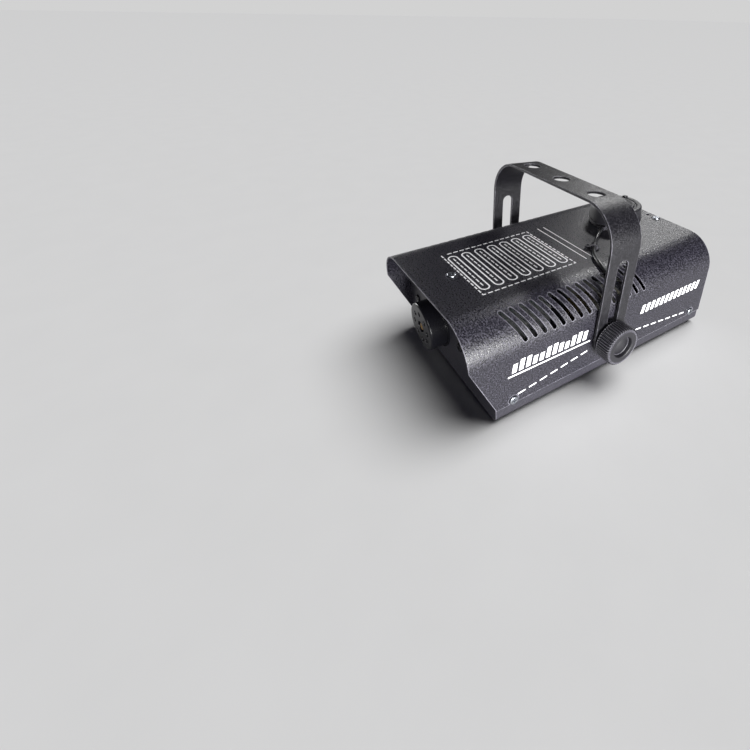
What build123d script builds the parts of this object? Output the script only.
from build123d import *
from math import cos, pi, radians, sin, sqrt, tan
import os

# A small fog machine. Millimetres, +Z up, the fog leaves towards -Y, +X is the side with the rear sockets.
# The origin is on the surface the machine stands on, at the middle of its overall length and width.

# ------------------------------------------------------------------ sizes of the case
BODY_W = 140.0            # cover, outside width
BODY_L = 212.0            # tray, front wall to rear wall
BODY_H = 80.0             # underside of the tray to the top of the cover
HOOD = 17.5               # the cover's top reaches this far past the front wall
REAR_OUT = 4.0            # the furthest thing behind the rear wall
FOOT_H = 3.0
FOOT_R = 8.0
FOOT_STEM_R = 2.9
FOOT_EDGE = 0.8
FOOT_IN_X = 18.0          # foot centres, in from the sides
FOOT_IN_Y = 22.0          # foot centres, in from the ends
COVER_T = 1.0
COVER_BEND_R = 26.0       # outside radius of the cover's two long bends
COVER_LIFT = 12.0         # the cover's sides end this far above the tray's underside
TRAY_T = 1.0
TRAY_BEND_R = 5.0
FLANGE_GAP = 0.5          # tray side flanges to the clamp nuts above them
FIT = 0.1                 # gap between folded sheets
GAP = 0.05                # gap between flat faces that turn or slide on each other
RUN = 0.05                # radial clearance of a shaft that turns in a hole
HOLE = 0.2                # radial clearance of a screw in a plain hole

# ------------------------------------------------------------------ vents over the two bends
VENT_COUNT = 15
VENT_PITCH = 7.7
VENT_W = 3.3
VENT_TOP_DEG = 65.0       # ends of a slot, as angles up from the side round the bend
VENT_LOW_DEG = 18.0
VENT_SLANT = 9.8          # the lower end lies this far behind the upper end
VENT_FIRST = 24.0         # lower end of the first slot, behind the front wall
VENT_CUT = 6.0            # how far the cutter reaches each side of the bend's surface

# ------------------------------------------------------------------ screws
SCREW_R = 1.9
SCREW_HEAD_R = 3.3
SCREW_HEAD_H = 1.6
SCREW_HEAD_ROUND = 0.9
SCREW_LEN = 7.0
DIMPLE_R = 4.2
DIMPLE_D = 0.45
CROSS_L = 3.6
CROSS_W = 0.8
CROSS_D = 1.0
SIDE_SCREW_IN = 13.5      # side screws, in from the front and rear edges
SIDE_SCREW_Z = 15.0       # above the tray's underside
TOP_SCREW_IN = 8.0        # top front screw, behind the front wall
REAR_SCREW_IN = 5.0       # top rear screw and the empty hole, ahead of the rear wall
REAR_SCREW_X = 10.0
SPARE_HOLE_R = 1.8
TAB_HALF = 9.0            # half width of the tabs under the top screws
TAB_L = 15.0

# ------------------------------------------------------------------ nozzle, guard and heater
NOZZLE_X = -16.5
NOZZLE_Z = 33.5           # above the tray's underside
NOZZLE_R = 4.0
NOZZLE_BORE_R = 0.8
NOZZLE_TIP = 1.5          # chamfer at the tip
NOZZLE_NUT_R = 7.0
NOZZLE_NUT_L = 5.0
NOZZLE_NUT_OUT = 6.0      # front of the hexagon, ahead of the heater block
NOZZLE_SHY = 0.6          # the tip stops this far inside the guard's face
GUARD_R = 19.0
GUARD_T = 1.2
GUARD_EDGE_R = 1.6
GUARD_OUT = 14.0          # the guard's face, ahead of the front wall
GUARD_FLANGE_R = 20.6
GUARD_FLANGE_T = 1.2
GUARD_HOLE_R = 4.8
GUARD_VENT_R = 1.9
GUARD_VENT_PCD = 23.0
GUARD_VENTS = 8
EAR_SCREW = 38.0          # front wall screws, each side of the nozzle
WALL_HOLE_R = 9.0
BLOCK_W = 40.0
BLOCK_H = 30.0
BLOCK_L = 70.0
BLOCK_BACK = 12.0         # heater block, behind the front wall
FEED_DEPTH = 8.0          # feed pipe's end, inside the block
ELEMENT_R = 6.0
ELEMENT_L = 60.0
ELEMENT_UP = 4.0          # element axis above the block's middle
ELEMENT_TAIL = 6.0
STAT_R = 8.0
STAT_H = 8.0
STAT_PITCH = 26.0
STAT_TAB_L = 24.0
STAT_TAB_W = 6.0
STAT_TAB_T = 1.0
PAD_T = 6.0               # insulation round the block
CRADLE_T = 1.0
CRADLE_IN = 6.0           # cradle's ends, in from the block's ends
SHROUD_SIDE_GAP = 8.2     # insulation to the shroud's sides
SHROUD_TOP_GAP = 4.7      # thermostats to the shroud's top
SHROUD_T = 0.8
SHROUD_BEND_R = 3.0
EAR_PAST = 5.2            # the shroud's ears reach this far past their screws
EAR_H = 18.0

# ------------------------------------------------------------------ yoke, pads, washers, knobs
PIVOT_Y = 95.0            # behind the front wall
PIVOT_Z = 35.0            # above the tray's underside
YOKE_LEAN = 4.4           # the yoke's rest lean, degrees towards the rear
YOKE_RISE = 97.6          # pivot to the top of the crossbar
YOKE_W = 27.5
YOKE_T = 2.0
YOKE_BEND_R = 28.5
YOKE_HOLE_R = 6.5
YOKE_HOLE_PITCH = 38.0
BOSS_WALL = 0.5           # pad's boss round the stud, at its narrow sides
SLOT_UP = 62.5            # top end of the slot above the pivot
PAD_FLANGE_T = 1.5
PAD_FLANGE_R = 12.0
BOSS_L = 14.0
WASHER_R = 11.0
WASHER_T = 1.5
STUD_R = 4.0
STUD_REACH = 12.0         # stud past the cover's outer face, inwards
STUD_IN_KNOB = 9.0
KNOB_R = 15.5
KNOB_T = 13.2
KNOB_RIBS = 48
KNOB_RIB_D = 0.7
KNOB_LAND = 1.2
KNOB_DISH_R = 8.0
KNOB_DISH_D = 2.0
NUT_WALL = 1.5
NUT_L = 11.0
NUT_FLANGE_OUT = 3.0      # the nut's flange, past its body
NUT_FLANGE_T = 1.5

# ------------------------------------------------------------------ tank, cap and tether
CAP_X = -5.0
CAP_OVER_RING = 0.3       # the cap's skirt, past the tether ring
CAP_H = 17.4              # top of the cap above the cover
CAP_LIFT = 0.6            # lowest edge of the cap above the cover
CAP_RING_IN = 8.2         # raised ring on the cap, in from the edge
CAP_RING_W = 1.6
CAP_RING_H = 0.6
CAP_EDGE_R = 1.4
GROOVE_WALL = 1.8         # skirt's wall inside the tether ring
GROOVE_H = 3.4
LIP_H = 0.8
LIP_OUT = 0.7             # the lip that holds the tether ring
RIVET_R = 2.4
RIVET_H = 1.2
RIVET_ROUND = 0.8
RIVET_DEG = 112.0         # where it stands on the cap, from +X towards +Y
RIVET_IN = 3.6            # rivet centre in from the cap's edge
TETHER_RING_W = 1.6
TETHER_RING_T = 2.4
TETHER_R = 1.5
LUG_W = 5.0
LUG_REACH = 3.4
LUG_DEG = -69.0           # where the tether leaves the ring
TETHER_OFF = 0.5          # gap between the tether's end and the lug's face
NECK_R = 18.0
NECK_WALL = 3.0
NECK_UP = 11.5            # neck's rim above the cover
FILLER_GAP = 1.0          # cover's hole round the neck
SEAL_T = 1.4
TANK_SIDE_GAP = 8.0       # tank to the cover's outer face
TANK_X1 = 20.0
TANK_PUMP_GAP = 6.0
TANK_REAR_GAP = 5.0
TANK_Z0 = 3.0             # above the tray's underside
TANK_TOP_GAP = 9.0
TANK_T = 2.5
TANK_EDGE_R = 6.0
SPIGOT_AHEAD = 9.0        # ahead of the filler neck's middle
SPIGOT_R = 2.0
SPIGOT_OUT = 8.0
HOSE_R = 3.0
STRAP_T = 1.0
STRAP_W = 12.0
STRAP_GAP = 1.0           # strap to the filler neck
STRAP_FOOT = 12.0
FILTER_R = 5.0
FILTER_L = 14.0
CLIP_R = 2.9
CLIP_L = 4.6
CLIP_BAR_R = 1.5
CLIP_BAR_OUT = 1.6
CLIP_BAR_L = 3.4
CLIP_EYE_R = 2.5
CLIP_EYE_T = 1.8
CLIP_EYE_WALL = 1.1
CLIP_EYE_SINK = 0.4       # the eye is let into the sleeve by this much
ANCHOR_X = 59.0
ANCHOR_Y = 102.2          # behind the front wall
ANCHOR_R = 3.6
ANCHOR_H = 3.0
ANCHOR_ROUND = 1.2

# ------------------------------------------------------------------ pump
PUMP_BLOCK_GAP = 16.0     # heater block to the pump
PUMP_Z = 24.0             # above the tray's underside
COIL_X0 = 20.0
COIL_X1 = 46.0
COIL_HALF = 14.0
CORE_R = 5.5
CORE_X0 = 12.0
CORE_X1 = 52.0
PISTON_R = 4.0
CORE_CAP = 3.0            # thickness of the core's ends
PISTON_L = 20.0
PISTON_STROKE = 2.0
SPRING_WIRE_R = 0.35
SPRING_R = 3.2
SPRING_TURNS = 5
PIPE_R = 1.6
FEED_DX = 10.0            # feed pipe, beside the nozzle axis
HOSE_IN = 10.0            # suction hose, in from the cover's side
HOSE_BENDS = (7.5, 12.0)
FEED_BEND = 9.0
FEED_IN_CORE = 2.5        # feed pipe's end, inside the pump's core
PUMP_SPIGOT_L = 4.0

# ------------------------------------------------------------------ rear sockets
INLET_IN = 22.0           # middle of the inlet, in from the cover's side
INLET_Z0 = 8.0
INLET_W = 27.0
INLET_H = 32.0
INLET_D = 22.0
INLET_RIM = 2.5
INLET_RIM_X = 2.0         # the rim reaches this far past the body
INLET_RIM_Z = 3.0
INLET_CORNER_R = 2.0
PLUG_W = 24.4
PLUG_H = 16.4
PLUG_D = 17.0
PLUG_UP = 13.0            # plug cavity, above the bottom of the body
PLUG_CORNER = 4.0
BLADE_L = 14.0
BLADE_W = 4.0
BLADE_T = 2.0
BLADE_PITCH = 7.0
BLADE_OFF = 2.0           # the blades, above or below the cavity's middle
DRAWER_W = 20.0
DRAWER_H = 8.0
DRAWER_D = 14.0
DRAWER_LIP = 1.5
DRAWER_LIP_W = 10.0
DRAWER_LIP_H = 2.0
DRAWER_UP = 2.0           # above the bottom of the inlet's body
DRAWER_BACK = 1.5
DRAWER_FRONT = 4.0
DRAWER_FLOOR = 1.2
FUSE_R = 2.5
FUSE_L = 15.0
SWITCH_IN = 18.0          # in from the cover's side
SWITCH_Z = 56.5
SWITCH_W = 13.0
SWITCH_H = 20.0
SWITCH_D = 14.0
SWITCH_RIM = 1.2
SWITCH_RIM_OUT = 1.0
SWITCH_PIVOT_IN = 1.0     # rocker's axle, inside the rear wall's face
WELL_GAP = 0.3            # rocker to the walls of its well
WELL_END_GAP = 0.4
WELL_DEEP = 3.0           # well's floor below the rocker
AXLE_IN = 0.2
ROCKER_W = 10.6
ROCKER_H = 16.4
ROCKER_TILT = 8.0
ROCKER_FACE = 3.0
ROCKER_TAIL = 5.0
ROCKER_AXLE_R = 1.0
ROCKER_EDGE_R = 0.6
ROCKER_DIP = 1.0
ROCKER_DIP_R = 30.0
REMOTE_IN = 40.0          # in from the cover's side
REMOTE_Z = 57.0
REMOTE_R = 7.8
REMOTE_RIM_R = 10.0
REMOTE_RIM = 2.0
REMOTE_D = 13.0
REMOTE_CUP_R = 6.0
REMOTE_CUP_D = 9.0
REMOTE_PIN_L = 5.5
REMOTE_PIN_R = 0.8
REMOTE_PIN_PCR = 3.2
REMOTE_PINS = 3
TERMINAL = (40.0, 14.0, 13.0)
TERMINAL_IN = 30.0        # middle, in from the -X side
TERMINAL_AHEAD = 27.0     # middle, ahead of the tank's front
TERMINAL_WAYS = 4
TERMINAL_HOLE_R = 2.2
TERMINAL_HOLE_D = 4.0
LEAD_R = 1.6
SUPPLY_BEND = 5.0
HEATER_BEND = 4.0

# ------------------------------------------------------------------ places that follow from the sizes
OVERALL_L = HOOD + BODY_L + REAR_OUT
FRONT = HOOD - OVERALL_L / 2         # outer face of the front wall
REAR = FRONT + BODY_L                # outer face of the rear wall
BASE = FOOT_H                        # underside of the tray
TOP = BASE + BODY_H                  # top of the cover
SIDE = BODY_W / 2                    # outer face of the cover's side
FLOOR = BASE + TRAY_T                # inside of the tray
INSET = COVER_T + FIT                # tray walls, in from the cover's outer face
BEND_X = SIDE - COVER_BEND_R         # axis of the cover's bend
BEND_Z = TOP - COVER_BEND_R
PIVOT = (0.0, FRONT + PIVOT_Y, BASE + PIVOT_Z)
PAD_X = SIDE + GAP                   # inner face of the friction pad
LEG_X = PAD_X + PAD_FLANGE_T         # inner face of the yoke's leg
WASHER_X = LEG_X + YOKE_T + GAP
KNOB_X = WASHER_X + WASHER_T + GAP
AXIS_X = NOZZLE_X
AXIS_Z = BASE + NOZZLE_Z
SLOT_W = 2 * (STUD_R + BOSS_WALL + HOLE)
NUT_R = STUD_R + NUT_WALL
NUT_FLANGE_R = NUT_R + NUT_FLANGE_OUT
FLANGE_H = PIVOT_Z - NUT_FLANGE_R - FLANGE_GAP                  # tray side flanges, above its underside
PUMP_Y = BLOCK_BACK + BLOCK_L + PUMP_BLOCK_GAP + COIL_HALF      # behind the front wall, as the next ones
TANK_Y0 = PUMP_Y + COIL_HALF + TANK_PUMP_GAP
TANK_Y1 = BODY_L - TRAY_T - TANK_REAR_GAP
TANK_X0 = TANK_SIDE_GAP - SIDE
TANK_Z1 = BODY_H - COVER_T - TANK_TOP_GAP                       # above the tray's underside
CAP_Y = (TANK_Y0 + TANK_Y1) / 2
CAP_MID = (CAP_X, FRONT + CAP_Y)
SPIGOT_Y = CAP_Y - SPIGOT_AHEAD
NECK_BORE_R = NECK_R - NECK_WALL
COVER_FILLER_R = NECK_R + FILLER_GAP
CAP_BORE_R = NECK_R + 2 * HOLE
GROOVE_R = CAP_BORE_R + GROOVE_WALL
LIP_R = GROOVE_R + LIP_OUT
RING_BORE_R = GROOVE_R + 3 * HOLE
TETHER_RING_R = RING_BORE_R + TETHER_RING_W
CAP_R = TETHER_RING_R + CAP_OVER_RING
CAP_RING_R = CAP_R - CAP_RING_IN
HOSE_X = SIDE - HOSE_IN
INLET_X = SIDE - INLET_IN
SWITCH_X = SIDE - SWITCH_IN
REMOTE_X = SIDE - REMOTE_IN
TERMINAL_X = TERMINAL_IN - SIDE
TERMINAL_Y = TANK_Y0 - TERMINAL_AHEAD


def block(x0, x1, y0, y1, z0, z1):
    middle = Pos((x0 + x1) / 2, (y0 + y1) / 2, (z0 + z1) / 2)
    return middle * Box(x1 - x0, y1 - y0, z1 - z0)


def rod(start, direction, radius, length):
    """A cylinder from start along direction."""
    seat = Plane(origin=start, z_dir=direction).location
    return seat * Cylinder(radius, length, align=(Align.CENTER, Align.CENTER, Align.MIN))


def upright(x, y, z, radius, height):
    return rod((x, y, z), (0, 0, 1), radius, height)


def tube_along(points, radius, bends):
    """A round tube along straight runs joined by tangent arcs."""
    path = FilletPolyline(*points, radius=bends)
    seat = Plane(origin=path @ 0, z_dir=path % 0)
    return sweep(seat * Circle(radius), path=path)


def cord_bends(points):
    """The largest arc at each corner: 0.45 of the shorter run over the tangent of half the turn."""
    places = [Vector(*p) for p in points]
    runs = [b - a for a, b in zip(places, places[1:])]
    bends = []
    for before, after in zip(runs, runs[1:]):
        half_turn = radians(before.get_angle(after)) / 2
        bends.append(0.45 * min(before.length, after.length) / tan(half_turn))
    return bends


# ------------------------------------------------------------------ case
def case_form(inset, y0, y1, z0, low_r):
    """The case's cross-section, inset on the sides and the top, from y0 to y1."""
    form = block(-SIDE + inset, SIDE - inset, y0, y1, z0, TOP - inset)
    long_edges = form.edges().filter_by(Axis.Y).sort_by(Axis.Z)
    form = fillet(long_edges[-2:], COVER_BEND_R - inset)
    if low_r:
        long_edges = form.edges().filter_by(Axis.Y).sort_by(Axis.Z)
        form = fillet(long_edges[:2], low_r)
    return form


def side_screw_places():
    for y in (FRONT + SIDE_SCREW_IN, REAR - SIDE_SCREW_IN):
        for side in (-1, 1):
            yield side, y, BASE + SIDE_SCREW_Z


def ear_screw_xs():
    return (AXIS_X - EAR_SCREW, AXIS_X + EAR_SCREW)


def vent_cutter(side, index):
    """One slanted slot, cut square to the middle of the bend."""
    middle_deg = (VENT_TOP_DEG + VENT_LOW_DEG) / 2
    half_arc = radians(VENT_TOP_DEG - VENT_LOW_DEG) / 2
    chord = 2 * COVER_BEND_R * sin(half_arc)
    y = FRONT + VENT_FIRST - VENT_SLANT / 2 + index * VENT_PITCH
    out = (side * cos(radians(middle_deg)), 0, sin(radians(middle_deg)))
    down = Vector(side * sin(radians(middle_deg)), 0, -cos(radians(middle_deg)))
    along = down * chord + Vector(0, VENT_SLANT, 0)
    start = COVER_BEND_R - VENT_CUT
    place = (side * BEND_X + out[0] * start, y, BEND_Z + out[2] * start)
    seat = Plane(origin=place, x_dir=along, z_dir=out)
    return extrude(seat * SlotOverall(along.length + VENT_W, VENT_W), 2 * VENT_CUT)


def cover():
    front = FRONT - HOOD
    low = BASE + COVER_LIFT
    shell = case_form(0, front, REAR, low, 0)
    shell -= case_form(COVER_T, front - 1, REAR + 1, low - 1, 0)
    wedge = Polyline((0, front - 1, low - 1), (0, FRONT, low - 1), (0, FRONT, low), (0, front, BEND_Z),
                     (0, front - 1, BEND_Z), close=True)
    shell -= extrude(make_face(wedge), SIDE + 1, both=True)
    cutters = [vent_cutter(side, i) for side in (-1, 1) for i in range(VENT_COUNT)]
    shell -= cutters
    for side, y, z in side_screw_places():
        inside = (side * (SIDE - 2 * COVER_T), y, z)
        shell -= rod(inside, (side, 0, 0), SCREW_R + HOLE, 3 * COVER_T)
        shell -= rod((side * (SIDE - DIMPLE_D), y, z), (side, 0, 0), DIMPLE_R, COVER_T)
    for side in (-1, 1):
        inside = (side * (SIDE - 2 * COVER_T), PIVOT[1], PIVOT[2])
        shell -= rod(inside, (side, 0, 0), NUT_R + HOLE, 3 * COVER_T)
    for x, y in ((0, FRONT + TOP_SCREW_IN), (REAR_SCREW_X, REAR - REAR_SCREW_IN)):
        shell -= upright(x, y, TOP - 2 * COVER_T, SCREW_R + HOLE, 3 * COVER_T)
        shell -= upright(x, y, TOP - DIMPLE_D, DIMPLE_R, COVER_T)
    shell -= upright(0, REAR - REAR_SCREW_IN, TOP - 2 * COVER_T, SPARE_HOLE_R, 3 * COVER_T)
    shell -= upright(*CAP_MID, TOP - 2 * COVER_T, COVER_FILLER_R, 3 * COVER_T)
    return shell


def tray():
    outer = case_form(INSET, FRONT, REAR, BASE, TRAY_BEND_R)
    inner = case_form(INSET + TRAY_T, FRONT + TRAY_T, REAR - TRAY_T, FLOOR, TRAY_BEND_R - TRAY_T)
    pan = outer - inner
    pan -= block(-SIDE, SIDE, FRONT + TRAY_T, REAR - TRAY_T, BASE + FLANGE_H, TOP)
    tab_top = TOP - INSET
    pan += block(-TAB_HALF, TAB_HALF, FRONT, FRONT + TAB_L, tab_top - TRAY_T, tab_top)
    pan += block(REAR_SCREW_X - TAB_HALF, REAR_SCREW_X + TAB_HALF, REAR - TAB_L, REAR,
                 tab_top - TRAY_T, tab_top)
    for x, y in ((0, FRONT + TOP_SCREW_IN), (REAR_SCREW_X, REAR - REAR_SCREW_IN)):
        pan -= upright(x, y, tab_top - 2 * TRAY_T, SCREW_R + FIT, 3 * TRAY_T)
    for side, y, z in side_screw_places():
        pan -= rod((side * (SIDE - 4), y, z), (side, 0, 0), SCREW_R + FIT, 5)
    for x in ear_screw_xs():
        pan -= rod((x, FRONT - 1, AXIS_Z), (0, 1, 0), SCREW_R + HOLE, 3)
    pan -= rod((AXIS_X, FRONT - 1, AXIS_Z), (0, 1, 0), WALL_HOLE_R, 3)
    for x, y in foot_places():
        pan -= upright(x, y, BASE - 1, FOOT_STEM_R + FIT, 3)
    behind = REAR - 2 * TRAY_T
    pan -= block(INLET_X - INLET_W / 2 - FIT, INLET_X + INLET_W / 2 + FIT, behind, REAR + 1,
                 BASE + INLET_Z0 - FIT, BASE + INLET_Z0 + INLET_H + FIT)
    pan -= block(SWITCH_X - SWITCH_W / 2 - FIT, SWITCH_X + SWITCH_W / 2 + FIT, behind, REAR + 1,
                 BASE + SWITCH_Z - SWITCH_H / 2 - FIT, BASE + SWITCH_Z + SWITCH_H / 2 + FIT)
    pan -= rod((REMOTE_X, behind, BASE + REMOTE_Z), (0, 1, 0), REMOTE_R + FIT, 3 * TRAY_T)
    return pan


def foot_places():
    for y in (FRONT + FOOT_IN_Y, REAR - FOOT_IN_Y):
        for x in (-SIDE + FOOT_IN_X, SIDE - FOOT_IN_X):
            yield x, y


def foot(x, y):
    pad = upright(x, y, 0, FOOT_R, FOOT_H)
    pad = chamfer(pad.edges().group_by(Axis.Z)[0], FOOT_EDGE)
    return pad + upright(x, y, FOOT_H, FOOT_STEM_R, TRAY_T)


def screw(seat_point, out):
    """A cross-head screw whose head stands on seat_point; its shank goes the other way."""
    head = Cylinder(SCREW_HEAD_R, SCREW_HEAD_H, align=(Align.CENTER, Align.CENTER, Align.MIN))
    head = fillet(head.edges().group_by(Axis.Z)[-1], SCREW_HEAD_ROUND)
    cross = Box(CROSS_L, CROSS_W, CROSS_D) + Box(CROSS_W, CROSS_L, CROSS_D)
    head -= Pos(0, 0, SCREW_HEAD_H - CROSS_D / 2) * cross
    shank = Cylinder(SCREW_R, SCREW_LEN, align=(Align.CENTER, Align.CENTER, Align.MAX))
    return Plane(origin=seat_point, z_dir=out).location * (head + shank)


# ------------------------------------------------------------------ nozzle and heater
def nozzle_guard():
    face = FRONT - GUARD_OUT
    cup = rod((AXIS_X, face, AXIS_Z), (0, 1, 0), GUARD_R, GUARD_OUT)
    cup = fillet(cup.edges().group_by(Axis.Y)[0], GUARD_EDGE_R)
    cup += rod((AXIS_X, FRONT - GUARD_FLANGE_T, AXIS_Z), (0, 1, 0), GUARD_FLANGE_R, GUARD_FLANGE_T)
    cup -= rod((AXIS_X, face + GUARD_T, AXIS_Z), (0, 1, 0), GUARD_R - GUARD_T, GUARD_OUT)
    cup -= rod((AXIS_X, face - 1, AXIS_Z), (0, 1, 0), GUARD_HOLE_R, 3 * GUARD_T)
    for i in range(GUARD_VENTS):
        turn = 2 * pi * i / GUARD_VENTS
        x = AXIS_X + GUARD_VENT_PCD / 2 * cos(turn)
        z = AXIS_Z + GUARD_VENT_PCD / 2 * sin(turn)
        cup -= rod((x, face - 1, z), (0, 1, 0), GUARD_VENT_R, 3 * GUARD_T)
    return cup


def nozzle():
    tip = FRONT - GUARD_OUT + NOZZLE_SHY
    length = FRONT + BLOCK_BACK - tip
    stem = rod((AXIS_X, tip, AXIS_Z), (0, 1, 0), NOZZLE_R, length)
    stem = chamfer(stem.edges().group_by(Axis.Y)[0], NOZZLE_TIP)
    nut_y = FRONT + BLOCK_BACK - NOZZLE_NUT_OUT
    hexagon = Plane(origin=(AXIS_X, nut_y, AXIS_Z), z_dir=(0, 1, 0)) * RegularPolygon(NOZZLE_NUT_R, 6)
    stem += extrude(hexagon, NOZZLE_NUT_L)
    return stem - rod((AXIS_X, tip - 1, AXIS_Z), (0, 1, 0), NOZZLE_BORE_R, length + 2)


def heater_box(margin, y_margin):
    y0 = FRONT + BLOCK_BACK
    return block(AXIS_X - BLOCK_W / 2 - margin, AXIS_X + BLOCK_W / 2 + margin, y0 - y_margin,
                 y0 + BLOCK_L + y_margin, AXIS_Z - BLOCK_H / 2 - margin, AXIS_Z + BLOCK_H / 2 + margin)


def element_start():
    return (AXIS_X, FRONT + BLOCK_BACK + BLOCK_L - ELEMENT_L, AXIS_Z + ELEMENT_UP)


def heater_block():
    body = heater_box(0, 0)
    body -= rod(element_start(), (0, 1, 0), ELEMENT_R + FIT, ELEMENT_L + 1)
    feed_start = (AXIS_X + FEED_DX, FRONT + BLOCK_BACK + BLOCK_L - FEED_DEPTH, BASE + PUMP_Z)
    return body - rod(feed_start, (0, 1, 0), PIPE_R + FIT, FEED_DEPTH + 1)


def heater_element():
    return rod(element_start(), (0, 1, 0), ELEMENT_R, ELEMENT_L + ELEMENT_TAIL)


def thermostat(index):
    y = FRONT + BLOCK_BACK + BLOCK_L / 2 + (index - 0.5) * STAT_PITCH
    top = AXIS_Z + BLOCK_H / 2
    can = upright(AXIS_X, y, top, STAT_R, STAT_H)
    half = STAT_TAB_L / 2
    return can + block(AXIS_X - half, AXIS_X + half, y - STAT_TAB_W / 2, y + STAT_TAB_W / 2,
                       top, top + STAT_TAB_T)


def insulation():
    wrap = heater_box(PAD_T, 0) - heater_box(FIT, 1)
    top = AXIS_Z + BLOCK_H / 2
    end = FRONT + BLOCK_BACK + BLOCK_L + 1
    return wrap - block(AXIS_X - BLOCK_W, AXIS_X + BLOCK_W, FRONT, end, top, top + 2 * PAD_T)


def cradle():
    y0 = FRONT + BLOCK_BACK + CRADLE_IN
    y1 = FRONT + BLOCK_BACK + BLOCK_L - CRADLE_IN
    top = AXIS_Z - BLOCK_H / 2 - PAD_T
    half = BLOCK_W / 2
    channel = block(AXIS_X - half, AXIS_X + half, y0, y1, FLOOR, top)
    return channel - block(AXIS_X - half + CRADLE_T, AXIS_X + half - CRADLE_T, y0 - 1, y1 + 1,
                           FLOOR - 1, top - CRADLE_T)


def heater_shroud():
    half = BLOCK_W / 2 + PAD_T + SHROUD_SIDE_GAP + SHROUD_T
    y0 = FRONT + TRAY_T + FIT
    length = BLOCK_BACK + BLOCK_L
    top = AXIS_Z + BLOCK_H / 2 + STAT_H + SHROUD_TOP_GAP + SHROUD_T
    hat = block(AXIS_X - half, AXIS_X + half, y0, y0 + length, FLOOR, top)
    hat = fillet(hat.edges().filter_by(Axis.Y).sort_by(Axis.Z)[-2:], SHROUD_BEND_R)
    inside = block(AXIS_X - half + SHROUD_T, AXIS_X + half - SHROUD_T, y0 - 1, y0 + length + 1,
                   FLOOR - 1, top - SHROUD_T)
    hat -= fillet(inside.edges().filter_by(Axis.Y).sort_by(Axis.Z)[-2:], SHROUD_BEND_R - SHROUD_T)
    for side in (-1, 1):
        inner = AXIS_X + side * (half - SHROUD_T)
        outer = AXIS_X + side * (EAR_SCREW + EAR_PAST)
        hat += block(min(inner, outer), max(inner, outer), y0, y0 + SHROUD_T,
                     AXIS_Z - EAR_H / 2, AXIS_Z + EAR_H / 2)
    for x in ear_screw_xs():
        hat -= rod((x, FRONT, AXIS_Z), (0, 1, 0), SCREW_R + FIT, 4)
    return hat


# ------------------------------------------------------------------ yoke and clamps
def leaned(shape):
    """From the yoke's own frame, pivot at the origin and legs upright, to its rest place."""
    return Pos(*PIVOT) * Rot(-YOKE_LEAN, 0, 0) * shape


def yoke():
    outer_x = LEG_X + YOKE_T
    bow = block(-outer_x, outer_x, -YOKE_W / 2, YOKE_W / 2, 0, YOKE_RISE)
    bow = fillet(bow.edges().filter_by(Axis.Y).sort_by(Axis.Z)[-2:], YOKE_BEND_R)
    core = block(-LEG_X, LEG_X, -YOKE_W, YOKE_W, -1, YOKE_RISE - YOKE_T)
    core = fillet(core.edges().filter_by(Axis.Y).sort_by(Axis.Z)[-2:], YOKE_BEND_R - YOKE_T)
    bow -= core
    slot_low = -BOSS_L / 2 - HOLE
    slot_len = SLOT_UP - slot_low
    for side in (-1, 1):
        bow += rod((side * LEG_X, 0, 0), (side, 0, 0), YOKE_W / 2, YOKE_T)
        seat = Plane(origin=(side * LEG_X, 0, slot_low + slot_len / 2), x_dir=(0, 0, 1), z_dir=(side, 0, 0))
        bow -= extrude(seat * SlotOverall(slot_len, SLOT_W), 2 * YOKE_T, both=True)
    for i in (-1, 0, 1):
        bow -= upright(i * YOKE_HOLE_PITCH, 0, YOKE_RISE - 2 * YOKE_T, YOKE_HOLE_R, 3 * YOKE_T)
    return leaned(bow)


def friction_pad(side):
    """A disc between cover and leg, with a boss that the leg's slot slides on."""
    disc = rod((side * PAD_X, 0, 0), (side, 0, 0), PAD_FLANGE_R, PAD_FLANGE_T - GAP)
    seat = Plane(origin=(side * PAD_X, 0, 0), x_dir=(0, 0, 1), z_dir=(side, 0, 0))
    boss = extrude(seat * SlotOverall(BOSS_L, SLOT_W - 2 * HOLE), PAD_FLANGE_T + YOKE_T - GAP)
    pad = disc + boss - rod((0, 0, 0), (side, 0, 0), STUD_R + RUN, 2 * SIDE)
    return leaned(pad)


def washer(side):
    ring = rod((side * WASHER_X, *PIVOT[1:]), (side, 0, 0), WASHER_R, WASHER_T)
    return ring - rod((0, *PIVOT[1:]), (side, 0, 0), STUD_R + RUN, 2 * SIDE)


def knob(side):
    """A ribbed disc with plain lands at both faces and a dished middle."""
    corners = []
    for i in range(2 * KNOB_RIBS):
        radius = KNOB_R - KNOB_RIB_D * (i % 2)
        turn = pi * i / KNOB_RIBS
        corners.append((radius * cos(turn), radius * sin(turn)))
    seat = Plane(origin=(side * KNOB_X, *PIVOT[1:]), x_dir=(0, 1, 0), z_dir=(side, 0, 0))
    body = extrude(seat * make_face(Polyline(*corners, close=True)), KNOB_T)
    middle = (side * KNOB_X, *PIVOT[1:])
    land = chamfer(Cylinder(KNOB_R + 1, KNOB_T, align=(Align.CENTER, Align.CENTER, Align.MIN)).edges(),
                   KNOB_LAND + 1)
    body &= seat.location * land
    dish = rod((side * (KNOB_X + KNOB_T - KNOB_DISH_D), *PIVOT[1:]), (side, 0, 0), KNOB_DISH_R, KNOB_T)
    return body - dish - rod(middle, (side, 0, 0), STUD_R, STUD_IN_KNOB)


def stud(side):
    inner = SIDE - STUD_REACH
    return rod((side * inner, *PIVOT[1:]), (side, 0, 0), STUD_R, KNOB_X + STUD_IN_KNOB - inner)


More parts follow.
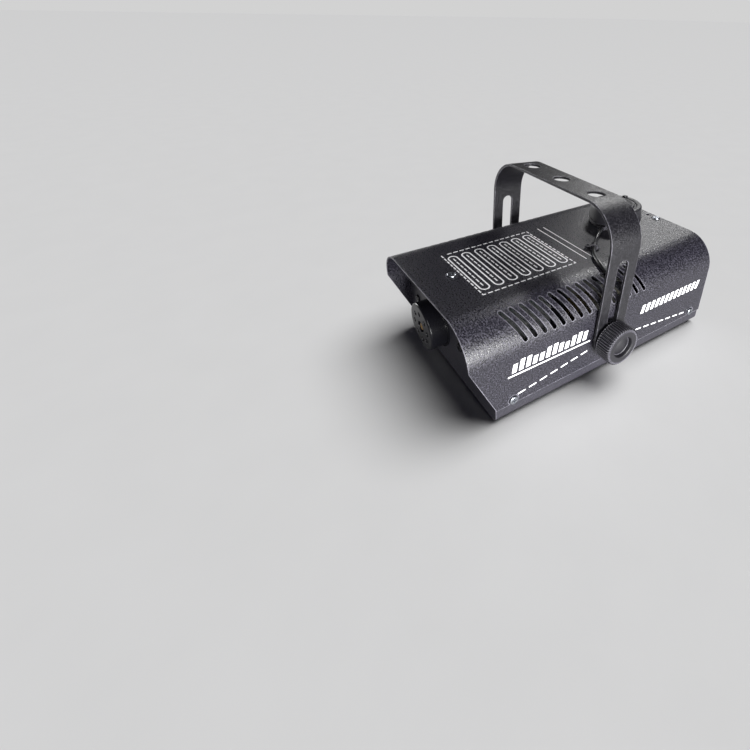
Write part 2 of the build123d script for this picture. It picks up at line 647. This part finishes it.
def clamp_nut(side):
    inner = SIDE - NUT_L
    nut = rod((side * inner, *PIVOT[1:]), (side, 0, 0), NUT_R, NUT_L - FIT)
    flange_x = SIDE - COVER_T - NUT_FLANGE_T
    nut += rod((side * flange_x, *PIVOT[1:]), (side, 0, 0), NUT_FLANGE_R, NUT_FLANGE_T)
    return nut - rod((0, *PIVOT[1:]), (side, 0, 0), STUD_R + RUN, 2 * SIDE)


# ------------------------------------------------------------------ tank, cap and tether
def tank():
    y0 = FRONT + TANK_Y0
    y1 = FRONT + TANK_Y1
    z0 = BASE + TANK_Z0
    z1 = BASE + TANK_Z1
    body = block(TANK_X0, TANK_X1, y0, y1, z0, z1)
    body = fillet(body.edges(), TANK_EDGE_R)
    hollow = block(TANK_X0 + TANK_T, TANK_X1 - TANK_T, y0 + TANK_T, y1 - TANK_T, z0 + TANK_T, z1 - TANK_T)
    hollow = fillet(hollow.edges(), TANK_EDGE_R - TANK_T)
    body += upright(*CAP_MID, z1 - TANK_T, NECK_R, TOP + NECK_UP - z1 + TANK_T)
    body -= hollow
    body -= upright(*CAP_MID, z1 - 2 * TANK_T, NECK_BORE_R, 60)
    spigot = (TANK_X1 - TANK_T, FRONT + SPIGOT_Y, BASE + PUMP_Z)
    body += rod(spigot, (1, 0, 0), SPIGOT_R, SPIGOT_OUT + TANK_T)
    return body - rod((TANK_X1 - 2 * TANK_T, *spigot[1:]), (1, 0, 0), SPIGOT_R / 2, 20)


def tank_filter():
    start = (TANK_X1 - TANK_T - FILTER_L, FRONT + SPIGOT_Y, BASE + PUMP_Z)
    return rod(start, (1, 0, 0), FILTER_R, FILTER_L)


def tank_strap():
    """A sheet strap over the tank, footed on the tray each side."""
    y0 = CAP_MID[1] - NECK_R - STRAP_GAP - STRAP_W
    z1 = BASE + TANK_Z1 + FIT
    x0 = TANK_X0 - FIT
    x1 = TANK_X1 + FIT
    strap = block(x0 - STRAP_T, x1 + STRAP_T, y0, y0 + STRAP_W, FLOOR, z1 + STRAP_T)
    strap = fillet(strap.edges().filter_by(Axis.Y).sort_by(Axis.Z)[-2:], TANK_EDGE_R)
    inside = block(x0, x1, y0 - 1, y0 + STRAP_W + 1, FLOOR - 1, z1)
    strap -= fillet(inside.edges().filter_by(Axis.Y).sort_by(Axis.Z)[-2:], TANK_EDGE_R - STRAP_T)
    return strap + block(x1, x1 + STRAP_FOOT, y0, y0 + STRAP_W, FLOOR, FLOOR + STRAP_T)


def cap():
    low = TOP + CAP_LIFT
    high = TOP + CAP_H
    skirt_z = low + LIP_H + GROOVE_H
    body = upright(*CAP_MID, skirt_z, CAP_R, high - skirt_z)
    body = fillet(body.edges().group_by(Axis.Z)[-1], CAP_EDGE_R)
    body += upright(*CAP_MID, low, GROOVE_R, skirt_z - low)
    body += upright(*CAP_MID, low, LIP_R, LIP_H)
    ring = upright(*CAP_MID, high, CAP_RING_R, CAP_RING_H)
    body += ring - upright(*CAP_MID, high, CAP_RING_R - CAP_RING_W, CAP_RING_H)
    neck_top = TOP + NECK_UP + SEAL_T
    return body - upright(*CAP_MID, low - 1, CAP_BORE_R, neck_top - low + 1)


def cap_rivet():
    reach = CAP_R - RIVET_IN
    away = radians(RIVET_DEG)
    x = CAP_MID[0] + reach * cos(away)
    y = CAP_MID[1] + reach * sin(away)
    dome = upright(x, y, TOP + CAP_H, RIVET_R, RIVET_H)
    return fillet(dome.edges().group_by(Axis.Z)[-1], RIVET_ROUND)


def cap_seal():
    z = TOP + NECK_UP
    ring = upright(*CAP_MID, z, NECK_R, SEAL_T)
    return ring - upright(*CAP_MID, z, NECK_BORE_R, SEAL_T)


def lug_tip():
    """Where the tether starts, just off the end of the ring's lug."""
    reach = TETHER_RING_R + LUG_REACH + TETHER_OFF
    x = CAP_MID[0] + reach * cos(radians(LUG_DEG))
    y = CAP_MID[1] + reach * sin(radians(LUG_DEG))
    return (x, y, TOP + CAP_LIFT + LIP_H + 2 * HOLE + TETHER_RING_T / 2)


def tether_ring():
    z = TOP + CAP_LIFT + LIP_H + 2 * HOLE
    ring = upright(*CAP_MID, z, TETHER_RING_R, TETHER_RING_T)
    arm = block(0, TETHER_RING_R + LUG_REACH, -LUG_W / 2, LUG_W / 2, 0, TETHER_RING_T)
    ring += Pos(*CAP_MID, z) * Rot(0, 0, LUG_DEG) * arm
    return ring - upright(*CAP_MID, z - 1, RING_BORE_R, TETHER_RING_T + 2)


def bend_point(x, above):
    """A point above the cover's right-hand bend, and the way out from it."""
    reach = COVER_BEND_R + above
    across = (x - BEND_X) / COVER_BEND_R
    rise = sqrt(1 - across * across)
    return (BEND_X + reach * across, BEND_Z + reach * rise), (across, 0, rise)


def tether_points():
    """The tether's route from the ring's lug to the anchor on the bend, chosen by hand."""
    lug = lug_tip()
    lie = TOP + TETHER_R + 0.1
    (end_x, end_z), _ = bend_point(ANCHOR_X - ANCHOR_R, TETHER_R + 0.5)
    return [
        lug,
        (9.3, FRONT + 137.4, lie + 1.6),
        (16.2, FRONT + 127.8, lie + 0.2),
        (24.6, FRONT + 118.4, lie + 0.5),
        (33.6, FRONT + 109.9, lie + 0.6),
        (44.6, FRONT + 104.1, lie + 1.1),
        (end_x, FRONT + ANCHOR_Y, end_z),
    ]


def tether():
    points = tether_points()
    bends = cord_bends(points)
    print("tether arc radii, mm:", [round(r, 1) for r in bends])
    cord = tube_along(points, TETHER_R, bends)
    length = cord.volume / (pi * TETHER_R ** 2)
    print("tether length, mm:", round(length, 1))
    return cord


def clip_place():
    """On the tether, at its fourth chosen point."""
    points = tether_points()
    before = Vector(*points[2])
    here = Vector(*points[3])
    after = Vector(*points[4])
    arc_mid = here * 0.86 + (before + after) * 0.07
    return arc_mid, after - before


def tether_clip():
    """A moulded toggle on the tether, with a small eye at one side."""
    place, along = clip_place()
    seat = Plane(origin=place, z_dir=along).location
    sleeve = seat * Cylinder(CLIP_R, CLIP_L)
    across = Vector(along.Y, -along.X, 0).normalized()
    far = place - across * (CLIP_R + CLIP_BAR_OUT)
    sleeve += rod(tuple(far), tuple(across), CLIP_BAR_R, CLIP_BAR_L)
    eye_mid = place + across * (CLIP_R + CLIP_EYE_R - CLIP_EYE_SINK)
    eye = Cylinder(CLIP_EYE_R, CLIP_EYE_T) - Cylinder(CLIP_EYE_R - CLIP_EYE_WALL, 2 * CLIP_EYE_T)
    sleeve += Pos(*eye_mid) * eye
    sleeve -= seat * Cylinder(TETHER_R + 0.15, 4 * CLIP_L)
    ground = block(-SIDE, SIDE, FRONT, REAR, TOP - 20, TOP + 0.1)
    return sleeve - ground


def tether_anchor():
    (x, z), out = bend_point(ANCHOR_X, 0.0)
    button = rod((x, FRONT + ANCHOR_Y, z), out, ANCHOR_R, ANCHOR_H)
    far_out = Vector(*out) * BODY_W + Vector(x, FRONT + ANCHOR_Y, z)
    button = fillet(button.edges().sort_by_distance(far_out)[0], ANCHOR_ROUND)
    above_cover = case_form(-0.02, FRONT - 5, REAR, BASE, 0)
    points = tether_points()
    heading = Vector(*points[-1]) - Vector(*points[-2])
    cut = rod(points[-1], tuple(-heading), TETHER_R + 0.1, 12)
    return button - above_cover - cut


# ------------------------------------------------------------------ pump
def pump_axis(x):
    return (x, FRONT + PUMP_Y, BASE + PUMP_Z)


def pump_coil():
    x, y, z = pump_axis(COIL_X0)
    body = block(COIL_X0, COIL_X1, y - COIL_HALF, y + COIL_HALF, z - COIL_HALF, z + COIL_HALF)
    body = fillet(body.edges().filter_by(Axis.X), 3)
    return body - rod((x - 1, y, z), (1, 0, 0), CORE_R + FIT, 60)


def pump_core():
    length = CORE_X1 - CORE_X0
    core = rod(pump_axis(CORE_X0), (1, 0, 0), CORE_R, length)
    core -= rod(pump_axis(CORE_X0 + CORE_CAP), (1, 0, 0), PISTON_R + RUN, length - 2 * CORE_CAP)
    core -= rod(pump_axis(CORE_X0 - 1), (1, 0, 0), PIPE_R + FIT, 5)
    core += rod(pump_axis(CORE_X1), (1, 0, 0), SPIGOT_R, PUMP_SPIGOT_L)
    return core - rod(pump_axis(CORE_X1 - CORE_CAP - 1), (1, 0, 0), SPIGOT_R / 2, CORE_CAP + PUMP_SPIGOT_L + 2)


def piston_start():
    return CORE_X0 + CORE_CAP + GAP


def pump_piston():
    return rod(pump_axis(piston_start()), (1, 0, 0), PISTON_R, PISTON_L)


def pump_spring():
    """The return spring, at the length it has when the piston is fully back."""
    start = piston_start() + PISTON_L + PISTON_STROKE + SPRING_WIRE_R + 0.1
    end = CORE_X1 - CORE_CAP - SPRING_WIRE_R - 0.1
    length = end - start
    x, y, z = pump_axis(start)
    coil = Helix(pitch=length / SPRING_TURNS, height=length, radius=SPRING_R)
    wire = sweep(Plane(origin=coil @ 0, z_dir=coil % 0) * Circle(SPRING_WIRE_R), path=coil)
    return Plane(origin=(x, y, z), z_dir=(1, 0, 0)).location * wire


def pump_bracket():
    x, y, z = pump_axis(COIL_X0)
    top = z - COIL_HALF
    seat = block(COIL_X0, COIL_X1, y - COIL_HALF, y + COIL_HALF, top - CRADLE_T, top)
    foot_part = block(COIL_X0, COIL_X1, y - COIL_HALF, y + COIL_HALF, FLOOR, FLOOR + CRADLE_T)
    web = block(COIL_X0, COIL_X0 + CRADLE_T, y - COIL_HALF, y + COIL_HALF, FLOOR, top)
    return seat + foot_part + web


def suction_hose():
    x, y, z = pump_axis(CORE_X1)
    tank_y = FRONT + SPIGOT_Y
    points = [(x + HOLE, y, z), (HOSE_X, y, z), (HOSE_X, tank_y, z), (TANK_X1 + 2 * HOLE, tank_y, z)]
    hose = tube_along(points, HOSE_R, HOSE_BENDS)
    hose -= rod((x, y, z), (1, 0, 0), SPIGOT_R, PUMP_SPIGOT_L)
    return hose - rod((TANK_X1, tank_y, z), (1, 0, 0), SPIGOT_R, SPIGOT_OUT)


def feed_pipe():
    x, y, z = pump_axis(CORE_X0)
    block_y = FRONT + BLOCK_BACK + BLOCK_L - FEED_DEPTH
    corner_x = AXIS_X + FEED_DX
    points = [(x + FEED_IN_CORE, y, z), (corner_x, y, z), (corner_x, block_y, z)]
    return tube_along(points, PIPE_R, [FEED_BEND])


# ------------------------------------------------------------------ rear sockets and wiring
def mains_inlet():
    z0 = BASE + INLET_Z0
    z1 = z0 + INLET_H
    half = INLET_W / 2
    body = block(INLET_X - half, INLET_X + half, REAR - INLET_D, REAR, z0, z1)
    rim_half = half + INLET_RIM_X
    rim = block(INLET_X - rim_half, INLET_X + rim_half, REAR, REAR + INLET_RIM,
                z0 - INLET_RIM_Z, z1 + INLET_RIM_Z)
    body += fillet(rim.edges().filter_by(Axis.Y), INLET_CORNER_R)
    face = REAR + INLET_RIM
    plug_z0 = z0 + PLUG_UP
    cup = block(INLET_X - PLUG_W / 2, INLET_X + PLUG_W / 2, face - PLUG_D, face + 1, plug_z0, plug_z0 + PLUG_H)
    upper = cup.edges().filter_by(Axis.Y).sort_by(Axis.Z)[-2:]
    body -= chamfer(upper, PLUG_CORNER)
    for i in (-1, 0, 1):
        x = INLET_X + i * BLADE_PITCH
        z = plug_z0 + PLUG_H / 2 + (BLADE_OFF if i == 0 else -BLADE_OFF)
        body += block(x - BLADE_T / 2, x + BLADE_T / 2, face - PLUG_D, face - PLUG_D + BLADE_L,
                      z - BLADE_W / 2, z + BLADE_W / 2)
    drawer_z = z0 + DRAWER_UP
    slot_half = DRAWER_W / 2 + HOLE
    body -= block(INLET_X - slot_half, INLET_X + slot_half, face - DRAWER_D - HOLE, face + 1,
                  drawer_z - HOLE, drawer_z + DRAWER_H + HOLE)
    return body


def fuse_drawer():
    z0 = BASE + INLET_Z0 + DRAWER_UP
    face = REAR + INLET_RIM
    body = block(INLET_X - DRAWER_W / 2, INLET_X + DRAWER_W / 2, face - DRAWER_D, face, z0, z0 + DRAWER_H)
    body -= block(INLET_X - FUSE_L / 2 - 1, INLET_X + FUSE_L / 2 + 1, face - DRAWER_D + DRAWER_BACK,
                  face - DRAWER_FRONT, z0 + DRAWER_FLOOR, z0 + DRAWER_H + 1)
    lip = block(INLET_X - DRAWER_LIP_W / 2, INLET_X + DRAWER_LIP_W / 2, face, face + DRAWER_LIP,
                z0 + DRAWER_H - DRAWER_LIP_H, z0 + DRAWER_H)
    return body + lip


def fuse():
    z0 = BASE + INLET_Z0 + DRAWER_UP
    face = REAR + INLET_RIM
    y = face - (DRAWER_D - DRAWER_BACK + DRAWER_FRONT) / 2
    return rod((INLET_X - FUSE_L / 2, y, z0 + DRAWER_FLOOR + FUSE_R), (1, 0, 0), FUSE_R, FUSE_L)


def switch_middle():
    return (SWITCH_X, REAR - SWITCH_PIVOT_IN, BASE + SWITCH_Z)


def rocker_switch():
    x, pivot_y, z = switch_middle()
    body = block(x - SWITCH_W / 2, x + SWITCH_W / 2, REAR - SWITCH_D, REAR, z - SWITCH_H / 2, z + SWITCH_H / 2)
    rim_x = SWITCH_W / 2 + SWITCH_RIM_OUT
    rim_z = SWITCH_H / 2 + SWITCH_RIM_OUT
    body += block(x - rim_x, x + rim_x, REAR, REAR + SWITCH_RIM, z - rim_z, z + rim_z)
    well_x = ROCKER_W / 2 + WELL_GAP
    well_z = ROCKER_H / 2 + ROCKER_TAIL * sin(radians(ROCKER_TILT)) + WELL_END_GAP
    body -= block(x - well_x, x + well_x, pivot_y - ROCKER_TAIL - WELL_DEEP, REAR + 2 * SWITCH_RIM,
                  z - well_z, z + well_z)
    axle_start = (x - SWITCH_W / 2 + AXLE_IN, pivot_y, z)
    return body + rod(axle_start, (1, 0, 0), ROCKER_AXLE_R, SWITCH_W - 2 * AXLE_IN)


def rocker():
    body = block(-ROCKER_W / 2, ROCKER_W / 2, -ROCKER_TAIL, ROCKER_FACE, -ROCKER_H / 2, ROCKER_H / 2)
    body = fillet(body.edges().filter_by(Axis.X), ROCKER_EDGE_R)
    dip_y = ROCKER_FACE + ROCKER_DIP_R - ROCKER_DIP
    dip = Pos(0, dip_y, 0) * Rot(0, 90, 0) * Cylinder(ROCKER_DIP_R, ROCKER_W + 2)
    body -= dip
    body -= rod((-ROCKER_W, 0, 0), (1, 0, 0), ROCKER_AXLE_R + RUN, 2 * ROCKER_W)
    return Pos(*switch_middle()) * Rot(ROCKER_TILT, 0, 0) * body


def remote_socket():
    x = REMOTE_X
    z = BASE + REMOTE_Z
    body = rod((x, REAR - REMOTE_D, z), (0, 1, 0), REMOTE_R, REMOTE_D)
    body += rod((x, REAR, z), (0, 1, 0), REMOTE_RIM_R, REMOTE_RIM)
    face = REAR + REMOTE_RIM
    body -= rod((x, face - REMOTE_CUP_D, z), (0, 1, 0), REMOTE_CUP_R, REMOTE_CUP_D + 1)
    for i in range(REMOTE_PINS):
        turn = pi / 2 + 2 * pi * i / REMOTE_PINS
        pin = (x + REMOTE_PIN_PCR * cos(turn), face - REMOTE_CUP_D, z + REMOTE_PIN_PCR * sin(turn))
        body += rod(pin, (0, 1, 0), REMOTE_PIN_R, REMOTE_PIN_L)
    return body


def terminal_block():
    length, depth, height = TERMINAL
    x0 = TERMINAL_X - length / 2
    y0 = FRONT + TERMINAL_Y - depth / 2
    body = block(x0, x0 + length, y0, y0 + depth, FLOOR, FLOOR + height)
    for i in range(TERMINAL_WAYS):
        x = x0 + (i + 0.5) * length / TERMINAL_WAYS
        hole_z = FLOOR + height - TERMINAL_HOLE_D
        body -= upright(x, y0 + depth / 2, hole_z, TERMINAL_HOLE_R, TERMINAL_HOLE_D + 1)
    return body


def supply_lead():
    y = FRONT + TANK_Y0
    start = (INLET_X - 8, REAR - INLET_D - FIT, BASE + 32)
    end = (TERMINAL_X + 8, FRONT + TERMINAL_Y + TERMINAL[1] / 2 + FIT, FLOOR + TERMINAL[2] / 2)
    points = [start, (start[0], start[1] - 12, start[2]), (28, y + 2, BASE + 46), (6, y - 5, BASE + 44),
              (-22, y - 5, BASE + 30), (end[0], end[1] + 11, end[2]), end]
    return tube_along(points, LEAD_R, [SUPPLY_BEND] * (len(points) - 2))


def heater_lead():
    x0, y0, z0 = element_start()
    start = (x0, y0 + ELEMENT_L + ELEMENT_TAIL + FIT, z0)
    end = (TERMINAL_X - 5, FRONT + TERMINAL_Y, FLOOR + TERMINAL[2] + FIT)
    points = [start, (x0, start[1] + 8, z0), (end[0] + 4, end[1] - 2, end[2] + 18),
              (end[0], end[1], end[2] + 9), end]
    return tube_along(points, LEAD_R, [HEATER_BEND] * (len(points) - 2))


def nodes():
    """Every sub-part by its node name."""
    parts = {"cover": cover(), "tray": tray()}
    corner_names = ("front_left", "front_right", "rear_left", "rear_right")
    for name, (x, y) in zip(corner_names, foot_places()):
        parts["foot_" + name] = foot(x, y)
    for name, (side, y, z) in zip(corner_names, side_screw_places()):
        parts["side_screw_" + name] = screw((side * (SIDE - DIMPLE_D), y, z), (side, 0, 0))
    parts["top_screw_front"] = screw((0, FRONT + TOP_SCREW_IN, TOP - DIMPLE_D), (0, 0, 1))
    parts["top_screw_rear"] = screw((REAR_SCREW_X, REAR - REAR_SCREW_IN, TOP - DIMPLE_D), (0, 0, 1))
    for name, x in zip(("left", "right"), ear_screw_xs()):
        parts["ear_screw_" + name] = screw((x, FRONT, AXIS_Z), (0, -1, 0))
    parts["nozzle_guard"] = nozzle_guard()
    parts["nozzle"] = nozzle()
    parts["heater_block"] = heater_block()
    parts["heater_element"] = heater_element()
    parts["thermostat_front"] = thermostat(0)
    parts["thermostat_rear"] = thermostat(1)
    parts["insulation"] = insulation()
    parts["heater_cradle"] = cradle()
    parts["heater_shroud"] = heater_shroud()
    parts["yoke"] = yoke()
    for name, side in (("left", -1), ("right", 1)):
        parts["friction_pad_" + name] = friction_pad(side)
        parts["washer_" + name] = washer(side)
        parts["knob_" + name] = knob(side)
        parts["stud_" + name] = stud(side)
        parts["clamp_nut_" + name] = clamp_nut(side)
    parts["tank"] = tank()
    parts["tank_filter"] = tank_filter()
    parts["tank_strap"] = tank_strap()
    parts["cap"] = cap()
    parts["cap_rivet"] = cap_rivet()
    parts["cap_seal"] = cap_seal()
    parts["tether_ring"] = tether_ring()
    parts["tether"] = tether()
    parts["tether_clip"] = tether_clip()
    parts["tether_anchor"] = tether_anchor()
    parts["pump_coil"] = pump_coil()
    parts["pump_core"] = pump_core()
    parts["pump_piston"] = pump_piston()
    parts["pump_spring"] = pump_spring()
    parts["pump_bracket"] = pump_bracket()
    parts["suction_hose"] = suction_hose()
    parts["feed_pipe"] = feed_pipe()
    parts["mains_inlet"] = mains_inlet()
    parts["fuse_drawer"] = fuse_drawer()
    parts["fuse"] = fuse()
    parts["rocker_switch"] = rocker_switch()
    parts["rocker"] = rocker()
    parts["remote_socket"] = remote_socket()
    parts["terminal_block"] = terminal_block()
    parts["supply_lead"] = supply_lead()
    parts["heater_lead"] = heater_lead()
    return parts


os.makedirs("parts", exist_ok=True)
for node, shape in nodes().items():
    export_step(shape, "parts/" + node + ".step")
